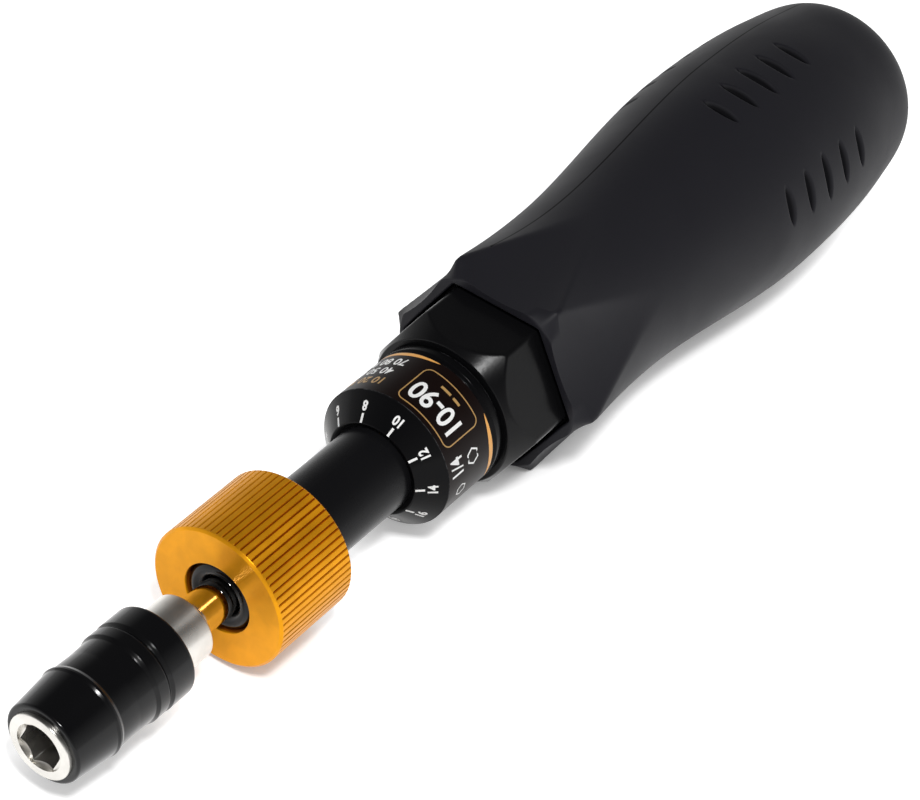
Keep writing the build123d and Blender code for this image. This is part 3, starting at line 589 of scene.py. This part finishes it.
# Release collar: its own profile with soft edges
collar_bore = holder_r + 0.05
collar_land_r = collar_bore + 0.1
collar_inside = 6.45
collar_profile = rounded([
    (collar_at, collar_bore, 0),
    (collar_at, collar_r - 1.07, 0.5),
    (collar_at + 7.4, collar_r - 0.31, 0.1),
    (collar_at + 7.8, collar_r - 0.1, 0.2),
    (collar_at + 8.2, collar_r - 0.15, 0.2),
    (collar_at + 8.75, collar_r - 0.42, 0.3),
    (collar_at + 12.4, collar_r - 0.52, 6.0),
    (collar_at + 15.65, collar_r - 0.42, 0.3),
    (collar_at + 16.2, collar_r - 0.07, 0.25),
    (collar_at + 18.1, collar_r - 0.07, 0.25),
    (collar_at + 18.65, collar_r - 0.35, 0.1),
    (collar_at + 19.2, collar_r, 0.25),
    (collar_end, collar_r, 0.55),
    (collar_end, collar_inside, 0),
    (collar_at + 13.1, collar_inside, 0),
    (collar_at + 13.1, collar_land_r, 0),
    (collar_at + 10.6, collar_land_r, 0),
    (collar_at + 7.8, collar_inside, 0),
    (collar_at + 6.0, collar_inside, 0),
    (collar_at + 6.0, collar_bore, 0)], closed=True)
turned_piece("release_collar", "collar", collar_profile, even_angles(144))

# Adjuster knob: flutes with flat lands between narrow grooves, a chamfer and a recess
flute_count = 67
flute_first = math.radians(4.0)
flute_depth = 0.32
flute_share = 0.34
recess_r = 6.0
web_r = 3.5
web = 2.0


def knob_shape(along, radius, angle):
    """Cuts the flutes into the knob's rim."""
    across = np.abs(((angle - flute_first) * flute_count / (2 * math.pi) + 0.5) % 1 - 0.5) * 2
    started = np.clip((along - knob_at - 0.38) / 0.3, 0, 1)
    depth = flute_depth * np.clip(1 - across / flute_share, 0, 1) * started
    return along, np.where(radius > knob_r - 1.2, np.minimum(radius, knob_r - depth), radius)


flute_steps = np.array([-0.5, -0.3, -0.17, -0.13, -0.05, 0.0, 0.05, 0.13, 0.17, 0.3])
flute_turns = (np.arange(flute_count)[:, None] + flute_steps) * 2 * math.pi / flute_count
knob_angles = np.sort((flute_first + flute_turns).ravel() % (2 * math.pi))
knob_profile = rounded([
    (knob_at, recess_r, 0.12),
    (knob_at, knob_r - 0.42, 0.1),
    (knob_at + 0.36, knob_r, 0.1),
    (knob_at + 0.7, knob_r, 0),
    (knob_end - 0.4, knob_r, 0.2),
    (knob_end, knob_r - 0.4, 0.1),
    (knob_end, tube_r + 0.02, 0),
    (tube_at, tube_r + 0.02, 0),
    (tube_at, web_r, 0),
    (tube_at - web, web_r, 0),
    (tube_at - web, recess_r, 0.2)], closed=True)
turned_piece("adjuster_knob", "adjuster", knob_profile, knob_angles, knob_shape)

# O-ring in the knob's recess
ring_start, ring_stop, ring_r = reach("o_ring")
ring_half = (ring_stop - ring_start) / 2
ring_turns = np.linspace(0, 2 * math.pi, 28, endpoint=False)
ring_profile = np.c_[ring_start + ring_half + ring_half * np.cos(ring_turns),
                     ring_r - ring_half + ring_half * np.sin(ring_turns)]
turned_piece("o_ring", "adjuster", ring_profile, even_angles(120))

# Dial collar: a cone with a rounded brim, a seat for the label and two grooves
mouth_r = tube_r + 0.95
brim_at = dial_at + 3.3
ring_at = label_end + 0.02
label_seat_r = dial_r - 0.27
dial_bore = dial_r - 2.48
dial_profile = rounded([
    (dial_at + 0.4, tube_r + 0.05, 0),
    (dial_at, mouth_r, 0.3),
    (brim_at, dial_r - 0.35, 0.6),
    (brim_at + 0.35, dial_r, 0.12),
    (label_at - 0.02, dial_r, 0.04),
    (label_at - 0.02, label_seat_r, 0),
    (ring_at, label_seat_r, 0),
    (ring_at, dial_r, 0.06),
    (ring_at + 0.45, dial_r - 0.5, 0.1),
    (ring_at + 1.0, dial_r, 0.15),
    (dial_end - 0.55, dial_r, 0.15),
    (dial_end - 0.5, dial_r - 0.55, 0),
    (dial_end, dial_r - 0.55, 0),
    (dial_end, dial_bore, 0),
    (body_at - 0.02, dial_bore, 0),
    (body_at - 0.02, tube_r + 0.05, 0)], closed=True)
turned_piece("dial_collar", "handle_body", dial_profile, even_angles(180))

# Body tube: the hexagon head with its turned chamfer, and the hidden barrel
head_at = dial_end
head_end = head_at + 18.5
head_flat_r = 13.4
head_front_r = dial_r + 0.85
head_edge_r = head_front_r + 2.9
barrel_r = 13.0
chamber_r = 11.0


def head_shape(along, radius, angle):
    """Cuts the head's rings down to a hexagon with rounded corners."""
    hexagon = hexagon_radius(angle, head_flat_r, 30, 0.9)
    in_head = (along > head_at + 0.3) & (along < head_end + 0.01) & (radius > barrel_r + 0.05)
    return along, np.where(in_head, soft_min(radius, hexagon, 0.12), radius)


body_profile = rounded([
    (body_at, tube_r + 0.05, 0),
    (body_at, dial_r - 2.5, 0),
    (head_at, dial_r - 2.5, 0),
    (head_at, head_front_r, 0.25),
    *[(head_at + step, head_front_r + 0.56 * step, 0) for step in np.arange(0.6, 5.2, 0.2)],
    (head_at + 8.0, head_edge_r, 0),
    (head_end, head_edge_r, 0),
    (head_end, barrel_r, 0),
    (body_end, barrel_r, 0),
    (body_end, chamber_r, 0),
    (head_at + 6.5, chamber_r, 0),
    (head_at + 6.5, tube_r + 0.05, 0)], closed=True)
turned_piece("body_tube", "handle_body", body_profile, hexagon_angles(30, 4, 0.5, 0.8), head_shape)

# Handle: a turned outline with six hollow facets behind the flange and rows of grip slots
flange_at = handle_at
flange_widest = flange_at + 3.2
flange_r = 19.3
neck_at = flange_at + 26.5
neck_r = 16.65
swell_at = neck_at + 46.0
shoulder_at = swell_at + 25.0
shoulder_r = 19.0
end_r = 10.5
hollow_r = 34.0
hollow_mid_r = 15.5
hollow_slope = math.radians(3.1)
slot_middle = swell_at + 1.3
slot_spacing = 5.75
slot_depth = 1.0
slot_half_long = 4.4
slot_half_wide = 1.15
slot_fine = 0.21
slot_rows = np.radians(5 + 60 * np.arange(6))
recess_flat_r = 14.1
handle_bore = barrel_r + 0.02
insert_flat_r = 7.02
pocket_r = 8.1
pocket_at = handle_end - 22.02


def curve(start, end, start_slope, end_slope, count, lead=None, trail=None):
    """Points on a smooth curve between two places of a profile, from its slopes and how far each holds."""
    lead = lead or (end[0] - start[0]) / 3
    trail = trail or (end[0] - start[0]) / 3
    start, end = np.array(start), np.array(end)
    share = np.linspace(0, 1, count)[:, None]
    leaving = start + lead * np.array([1, start_slope])
    coming = end - trail * np.array([1, end_slope])
    return ((1 - share) ** 3 * start + 3 * (1 - share) ** 2 * share * leaving
            + 3 * (1 - share) * share**2 * coming + share**3 * end)


def slot_dip(along, radius, angle):
    """How deep the grip slots are at a place: 1 at the bottom of the middle slot and 0 beside the slots."""
    dip = np.zeros(np.broadcast(along, angle).shape)
    for row in slot_rows:
        away = (angle - row + math.pi) % (2 * math.pi) - math.pi
        for step in range(-2, 3):
            half_long = slot_half_long - 0.35 * abs(step)
            taper = np.sqrt(np.clip(1 - (away * radius / half_long) ** 2, 0, 1))
            cut = np.clip(taper - np.abs(along - slot_middle - slot_spacing * step) / slot_half_wide, 0, 1)
            dip = np.maximum(dip, cut * cut * (3 - 2 * cut) * (1 - 0.1 * abs(step)))
    return dip


def handle_shape(along, radius, angle):
    """Sinks the hollow facets and the grip slots into the handle's outline."""
    outside = (radius > 16.0) & (along > flange_at - 0.01)
    off = (angle + math.radians(30)) % math.radians(60) - math.radians(30)
    tip = hollow_mid_r + hollow_r + (along - flange_widest) * math.tan(hollow_slope)
    inside = np.maximum(hollow_r**2 - (tip * np.sin(off)) ** 2, 0)
    hollow = tip * np.cos(off) - np.sqrt(inside)
    new_radius = np.where(outside & (along < neck_at + 6), soft_min(radius, hollow, 0.3), radius)
    new_radius = new_radius - np.where(outside, slot_depth * slot_dip(along, radius, angle), 0)
    in_recess = (along < head_end + 0.01) & (radius < 16.0) & (radius > barrel_r + 0.2)
    recess = hexagon_radius(angle, head_flat_r + 0.7, 30, 0.8)
    new_radius = np.where(in_recess, recess * radius / recess_flat_r, new_radius)
    in_tail = (along > body_end + 2) & (radius < 8.5) & (radius > 0.1)
    return along, np.where(in_tail, hexagon_radius(angle, insert_flat_r, 30, 0.2), new_radius)


front = rounded([
    (body_end + 0.3, 0, 0),
    (body_end + 0.3, handle_bore, 0),
    (head_end, handle_bore, 0),
    (head_end, recess_flat_r, 0),
    (flange_at, recess_flat_r, 0.3),
    (flange_at, 16.9, 0.5),
    (flange_widest - 0.6, flange_r, 0.35),
    (flange_widest + 0.6, flange_r, 0.6),
    (flange_widest + 2.0, flange_r - 0.28, 0)], closed=False)
flare = curve((flange_widest + 2.2, flange_r - 0.32), (neck_at, neck_r), -0.205, 0.0, 60)
neck = curve((neck_at, neck_r), (swell_at, swell_r), 0.0, 0.0, 160)
neck_places = np.concatenate([np.linspace(neck_at + 1, slot_middle - 13.2, 24),
                              np.arange(slot_middle - 13, swell_at, slot_fine)])
neck = np.stack([neck_places, np.interp(neck_places, neck[:, 0], neck[:, 1])], 1)
shoulder = curve((swell_at, swell_r), (shoulder_at, shoulder_r), 0.0, -0.16, 160)
shoulder_places = np.concatenate([np.arange(swell_at, slot_middle + 13, slot_fine),
                                  np.linspace(slot_middle + 13.5, shoulder_at, 8)])
shoulder = np.stack([shoulder_places, np.interp(shoulder_places, shoulder[:, 0], shoulder[:, 1])], 1)
tail = curve((shoulder_at, shoulder_r), (handle_end - 0.2, end_r + 0.5), -0.16, -3.0, 26, 9.0, 2.2)[1:]
tail_pocket = rounded([
    (handle_end - 0.1, end_r + 0.2, 0),
    (handle_end, end_r - 0.3, 0.4),
    (handle_end, pocket_r, 0.25),
    (pocket_at, pocket_r, 0),
    (pocket_at, 0, 0)], closed=False)
handle_profile = np.concatenate([front, flare, neck, shoulder, tail, tail_pocket])
handle_piece = turned_piece("handle", "handle_body", handle_profile, even_angles(300), handle_shape, 50)
handle_mesh = handle_piece.data
# The slots' depth at each point is kept on the mesh for the painted shade in the handle's material.
handle_places = np.array([vertex.co for vertex in handle_mesh.vertices]) / metre @ tool_axes
slot_shade = slot_dip(handle_places[:, 0], np.hypot(handle_places[:, 1], handle_places[:, 2]),
                      np.arctan2(-handle_places[:, 1], handle_places[:, 2]))
handle_mesh.attributes.new("slot", "FLOAT", "POINT").data.foreach_set("value", slot_shade)

# Printing: flat shapes that are wrapped on the label and the dial's cone
print_low = -0.02
print_high = 0.012


def ribbon(first, second, closed=False):
    """A thin closed band between two lines of points on a flat sheet."""
    count = len(first)
    points = np.concatenate([np.c_[line, np.full(count, height)]
                             for line in (first, second) for height in (print_low, print_high)])
    faces = []
    for step in range(count if closed else count - 1):
        ahead = (step + 1) % count
        corners = [step + count * line for line in (0, 1, 3, 2)]
        leading = [ahead + count * line for line in (0, 1, 3, 2)]
        faces += [(corners[side], corners[(side + 1) % 4], leading[(side + 1) % 4], leading[side])
                  for side in range(4)]
    if not closed:
        faces += [tuple(end + count * line for line in (0, 1, 3, 2)) for end in (0, count - 1)]
    return points, faces


def bar(middle, long, wide):
    """A straight bar on a flat sheet, long along x."""
    places = np.linspace(-long / 2, long / 2, max(2, int(long / 0.35) + 1)) + middle[0]
    return ribbon(np.c_[places, np.full(len(places), middle[1] - wide / 2)],
                  np.c_[places, np.full(len(places), middle[1] + wide / 2)])


def outline(middle, long, tall, corner, line):
    """A rounded rectangle drawn as a line, on a flat sheet."""
    rings = []
    for grow in (0, line):
        x, y, r = long / 2 - grow, tall / 2 - grow, corner - grow
        ring = []
        for cx, cy, first in ((x - r, y - r, 0), (r - x, y - r, 90),
                              (r - x, r - y, 180), (x - r, r - y, 270)):
            turns = np.radians(first + np.linspace(0, 90, 9))
            ring.append(np.c_[cx + r * np.cos(turns), cy + r * np.sin(turns)])
        whole = np.concatenate(ring)
        ahead = np.roll(whole, -1, 0)
        spaced = [start + (end - start) * share for start, end in zip(whole, ahead)
                  for share in (np.linspace(0, 1, 17)[:-1] if np.hypot(*(end - start)) > 1.0 else [0.0])]
        rings.append(np.array(spaced) + np.array(middle))
    return ribbon(rings[0], rings[1], closed=True)


def figures(words, size, bold, narrow=1.0):
    """The points and faces of plain figures, solid and cut fine enough to be wrapped on a round surface."""
    text = bpy.data.curves.new("figures", "FONT")
    text.body = words
    text.size = size
    text.offset = bold
    text.align_x = "CENTER"
    text.align_y = "CENTER"
    text.resolution_u = 4
    text.extrude = (print_high - print_low) / 2
    mesh = plain_mesh(new_object("figures", text))
    shell = bmesh.new()
    shell.from_mesh(mesh)
    bmesh.ops.remove_doubles(shell, verts=shell.verts, dist=0.0005)
    wide = max(abs(vertex.co.x) for vertex in shell.verts)
    for cut in np.arange(-wide, wide, 0.4):
        bmesh.ops.bisect_plane(shell, geom=list(shell.verts) + list(shell.edges) + list(shell.faces),
                               plane_co=(cut, 0, 0), plane_no=(1, 0, 0))
    shell.verts.index_update()
    points = np.array([vertex.co for vertex in shell.verts]) * (narrow, 1, 1)
    points[:, 2] += (print_high + print_low) / 2
    faces = [tuple(vertex.index for vertex in face.verts) for face in shell.faces]
    shell.free()
    return points, faces


def join_shapes(shapes):
    """Several (points, faces) shapes as one."""
    points, faces, count = [], [], 0
    for shape_points, shape_faces in shapes:
        points.append(shape_points)
        faces += [tuple(index + count for index in face) for face in shape_faces]
        count += len(shape_points)
    return np.concatenate(points), faces


def wrapped(shape, along, radius, angle, slope=0.0):
    """A flat shape wrapped round the tool: it reads round the tool with its top towards the bit."""
    points, faces = shape
    across, up, height = points.T
    place = along - up * math.cos(slope) - height * math.sin(slope)
    out = radius - up * math.sin(slope) + height * math.cos(slope)
    return to_frame(place, out, angle - across / radius), faces


def printed(name, shapes, ink):
    """A piece of print made of wrapped shapes, on the dial or its label."""
    points, faces = join_shapes(shapes)
    mesh = bpy.data.meshes.new(name)
    mesh.from_pydata(points, [], faces)
    finish_piece(tidy_mesh(mesh), "handle_body", finishes[ink])


# Dial: ten ticks on the cone, repeated by nodes, and the even figures under them
cone_slope = math.atan2(dial_r - 0.35 - mouth_r, brim_at - dial_at)
dial_step = math.radians(36)
dial_first = math.radians(14)


def cone_place(share):
    """Where a share of the way up the cone lies: its place along and its radius."""
    return dial_at + (brim_at - dial_at) * share, mouth_r + (dial_r - 0.35 - mouth_r) * share


def ring_group():
    """Geometry nodes that repeat a shape round the tool's axis."""
    tree = bpy.data.node_groups.new("round_the_tool", "GeometryNodeTree")
    for socket_name, kind in (("Geometry", "NodeSocketGeometry"), ("Count", "NodeSocketInt"),
                              ("First", number_socket), ("Step", number_socket),
                              ("Finish", "NodeSocketMaterial")):
        tree.interface.new_socket(socket_name, in_out="INPUT", socket_type=kind)
    tree.interface.new_socket("Geometry", in_out="OUTPUT", socket_type="NodeSocketGeometry")
    start = tree.nodes.new("NodeGroupInput")
    end = tree.nodes.new("NodeGroupOutput")
    points = add(tree, "GeometryNodeMeshLine", {"Count": start.outputs["Count"], "Offset": (0, 0, 0)})
    index = add(tree, "GeometryNodeInputIndex").outputs[0]
    turn = maths(tree, "ADD", maths(tree, "MULTIPLY", index, start.outputs["Step"]), start.outputs["First"])
    rotation = add(tree, "ShaderNodeCombineXYZ", {"X": turn}).outputs[0]
    placed = add(tree, "GeometryNodeInstanceOnPoints", {
        "Points": points.outputs[0], "Instance": start.outputs["Geometry"], "Rotation": rotation})
    real = add(tree, "GeometryNodeRealizeInstances", {0: placed.outputs[0]})
    painted = add(tree, "GeometryNodeSetMaterial",
                  {"Geometry": real.outputs[0], "Material": start.outputs["Finish"]})
    tree.links.new(painted.outputs[0], end.inputs[0])
    return tree


def repeated(name, shape, count, first, step, body, material):
    """A piece made of one shape, given in the tool's own directions, repeated round the axis."""
    points, faces = shape
    one = bpy.data.meshes.new(name + "_one")
    one.from_pydata(points, [], faces)
    holder = new_object(name + "_one", one)
    modifier = holder.modifiers.new("round", "NODES")
    modifier.node_group = round_nodes
    keys = {item.name: item.identifier for item in round_nodes.interface.items_tree if item.in_out == "INPUT"}
    for key, value in (("Count", count), ("First", first), ("Step", step), ("Finish", material)):
        modifier[keys[key]] = value
    mesh = plain_mesh(holder)
    mesh.name = name
    mesh.transform((Matrix(tool_axes.tolist()) * metre).to_4x4())
    return finish_piece(tidy_mesh(mesh), body, material)


round_nodes = ring_group()
tick_place, tick_out = cone_place(0.18)
tick_x, tick_y = 0.2, 0.75
tick_points, tick_faces = ribbon(np.array([[-tick_x, -tick_y], [tick_x, -tick_y]]),
                                 np.array([[-tick_x, tick_y], [tick_x, tick_y]]))
tick_up, tick_height = tick_points[:, 1], tick_points[:, 2]
tick_local = np.stack([
    tick_place - tick_up * math.cos(cone_slope) - tick_height * math.sin(cone_slope),
    tick_points[:, 0],
    tick_out - tick_up * math.sin(cone_slope) + tick_height * math.cos(cone_slope)], 1)
repeated("dial_ticks", (tick_local, tick_faces), 10, dial_first, dial_step,
         "handle_body", finishes["white_ink"])
figure_place, figure_out = cone_place(0.6)
printed("dial_figures", [
    wrapped(figures(str(2 * number), size=2.15, bold=0.08, narrow=0.85), figure_place, figure_out,
            dial_first + dial_step * (number - 5), cone_slope)
    for number in range(10)], "white_ink")

# Label: a thin frame, plain figures, bars and hexagons, and two crescents of colour
frame_turn = math.radians(26.5)
rows_turn = math.radians(-38)
printed("label_figures", [
    wrapped(figures("10-90", size=5.6, bold=0.11, narrow=0.8), label_at + 4.45, label_r, frame_turn),
    wrapped(figures("1/4", size=3.9, bold=0.06, narrow=0.75), label_at + 2.4, label_r, math.radians(73.5))],
    "white_ink")
printed("label_frame", [
    wrapped(outline((0, 0), 12.1, 8.6, 1.4, 0.2), label_at + 5.15, label_r, frame_turn)], "gold_ink")
printed("label_gold_marks", [
    wrapped(bar((-1.2, 0), 1.5, 0.5), label_at + 7.7, label_r, frame_turn),
    wrapped(bar((1.1, 0), 2.0, 0.5), label_at + 7.7, label_r, frame_turn),
    wrapped(figures("10 20 30", size=2.6, bold=0.04, narrow=0.9), label_at + 2.9, label_r, rows_turn)],
    "gold_ink")


def hexagon_line(size, line):
    """A plain hexagon drawn as a line, on a flat sheet."""
    corners = np.radians(np.arange(6) * 60)
    return ribbon(np.c_[size * np.cos(corners), size * np.sin(corners)],
                  np.c_[(size - line) * np.cos(corners), (size - line) * np.sin(corners)], closed=True)


printed("label_white_marks", [
    wrapped(hexagon_line(1.5, 0.32), label_at + 6.2, label_r, math.radians(74)),
    wrapped(hexagon_line(1.2, 0.22), label_at + 3.4, label_r, math.radians(97)),
    wrapped(figures("40 50 60", size=2.6, bold=0.04, narrow=0.9), label_at + 5.8, label_r, math.radians(-41)),
    wrapped(figures("70 80 90", size=2.6, bold=0.04, narrow=0.9), label_at + 8.6, label_r, rows_turn)],
    "white_ink")


def crescent(first, last, rear, widest):
    """A crescent of colour on the label: its rear edge keeps its place and its front edge swells."""
    share = np.linspace(0, 1, 40)
    turns = (np.radians(first) + share * np.radians(last - first)) * label_r
    swell_front = widest * np.sin(share * math.pi) ** 0.7 + 0.02
    return ribbon(np.c_[-turns, np.full(40, -rear)], np.c_[-turns, -rear + swell_front])


printed("label_crescents", [
    wrapped(crescent(-58, 3, 0, 0.75), label_end - 0.15, label_r, 0.0),
    wrapped(crescent(52, 112, 0, 0.9), label_end - 0.15, label_r, 0.0)], "orange_ink")

# Floor: plain white, it takes soft shadows, and its glow carries a painted contact shadow
object_low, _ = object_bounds()


def floor_material():
    """White that fills the background. Lamp shadows darken it, and ambient occlusion darkens its glow near the
    tool as a painted contact shadow.
    """
    material = bpy.data.materials.new("floor_white")
    material.use_nodes = True
    tree = material.node_tree
    tree.nodes.clear()
    place = add(tree, "ShaderNodeTexCoord").outputs["Object"]
    paper = add(tree, "ShaderNodeTexNoise", {"Vector": place, "Scale": 3.0}).outputs[0]
    tone = add(tree, "ShaderNodeMapRange", {"Value": paper, "To Min": 0.79, "To Max": 0.81}).outputs[0]
    matt = add(tree, "ShaderNodeBsdfDiffuse", {"Color": tone})
    path = add(tree, "ShaderNodeLightPath")
    seen = maths(tree, "MAXIMUM", path.outputs["Is Camera Ray"], path.outputs["Is Glossy Ray"])
    # Ambient occlusion darkens the glow near the tool: a painted contact shadow.
    open_sky = add(tree, "ShaderNodeAmbientOcclusion", {"Distance": 0.007}, samples=8).outputs["AO"]
    glowing = maths(tree, "MULTIPLY", maths(tree, "MULTIPLY", seen, open_sky), floor_glow)
    glow = add(tree, "ShaderNodeEmission", {"Color": (1, 1, 1, 1), "Strength": glowing})
    both = add(tree, "ShaderNodeAddShader", {0: matt.outputs[0], 1: glow.outputs[0]})
    output = tree.nodes.new("ShaderNodeOutputMaterial")
    tree.links.new(both.outputs[0], output.inputs["Surface"])
    return material


floor_glow = 0.78
floor_mesh = bpy.data.meshes.new("floor")
half_floor = 3.0
floor_mesh.from_pydata([(x * half_floor, y * half_floor, object_low.z) for x, y in (
    (-1, -1), (1, -1), (1, 1), (-1, 1))], [], [(0, 1, 2, 3)])
floor_mesh.materials.append(floor_material())
floor = new_object("floor", floor_mesh)

# Camera: fitted to the round edges of the tool in the photograph
camera_place = Vector((-0.228092, -0.181519, 0.302178))
camera_right = Vector((0.576285, -0.804812, 0.142036))
camera_up = Vector((0.447536, 0.456200, 0.769151))
camera_data = bpy.data.cameras.new("camera")
camera_data.sensor_width = 36.0
camera_data.lens = 118.37
camera_data.clip_start = 0.02
camera_data.clip_end = 20.0
camera = new_object("camera", camera_data)
camera_turn = Matrix((camera_right, camera_up, camera_right.cross(camera_up))).transposed()
camera.matrix_world = Matrix.Translation(camera_place) @ camera_turn.to_4x4()
bpy.context.scene.camera = camera

# Studio: a small bright key light and a sky that is dark overhead


def mirror_direction(along, radius, angle, lean):
    """A place on the tool, and the direction that a surface leaning to the bit mirrors to the camera."""
    place = Vector(to_frame(along, radius, angle))
    outwards = Vector(to_frame(0, 1, angle)).normalized()
    normal = outwards * math.cos(lean) - tool_dir * math.sin(lean)
    to_camera = (camera_place - place).normalized()
    return place, 2 * normal.dot(to_camera) * normal - to_camera


def area_light(name, place, target, size, power):
    """A square area light at a place, turned to a target."""
    data = bpy.data.lights.new(name, "AREA")
    data.size = size
    data.energy = power
    light = new_object(name, data)
    light.location = place
    light.rotation_mode = "QUATERNION"
    light.rotation_quaternion = (target - place).to_track_quat("-Z", "Y")
    return light


tool_middle = Vector(to_frame(90.0, 0.0, 0.0))
lit_place, key_dir = mirror_direction(60.0, 10.0, angle=math.radians(25), lean=math.radians(29))
key_distance = 0.9
area_light("key", lit_place + key_dir * key_distance, tool_middle, size=0.12, power=6.0)

world = bpy.data.worlds.new("studio")
world.use_nodes = True
sky = world.node_tree
sky.nodes.clear()
sky_place = add(sky, "ShaderNodeTexCoord").outputs["Generated"]
sky_height = add(sky, "ShaderNodeSeparateXYZ", {0: sky_place}).outputs["Z"]
horizon_tone, overhead_tone = 0.9, 0.1
sky_tone = add(sky, "ShaderNodeMapRange", {
    "Value": sky_height, "From Min": 0.05, "From Max": 0.65,
    "To Min": horizon_tone, "To Max": overhead_tone}).outputs[0]
sky_path = add(sky, "ShaderNodeLightPath")
seen_white = add(sky, "ShaderNodeMix", {0: sky_path.outputs["Is Camera Ray"], 2: sky_tone, 3: 1.0}).outputs[0]
sky_light = add(sky, "ShaderNodeBackground", {"Color": (1, 1, 1, 1), "Strength": seen_white})
sky_output = sky.nodes.new("ShaderNodeOutputWorld")
sky.links.new(sky_light.outputs[0], sky_output.inputs["Surface"])
bpy.context.scene.world = world
bpy.context.scene.view_settings.view_transform = "Standard"
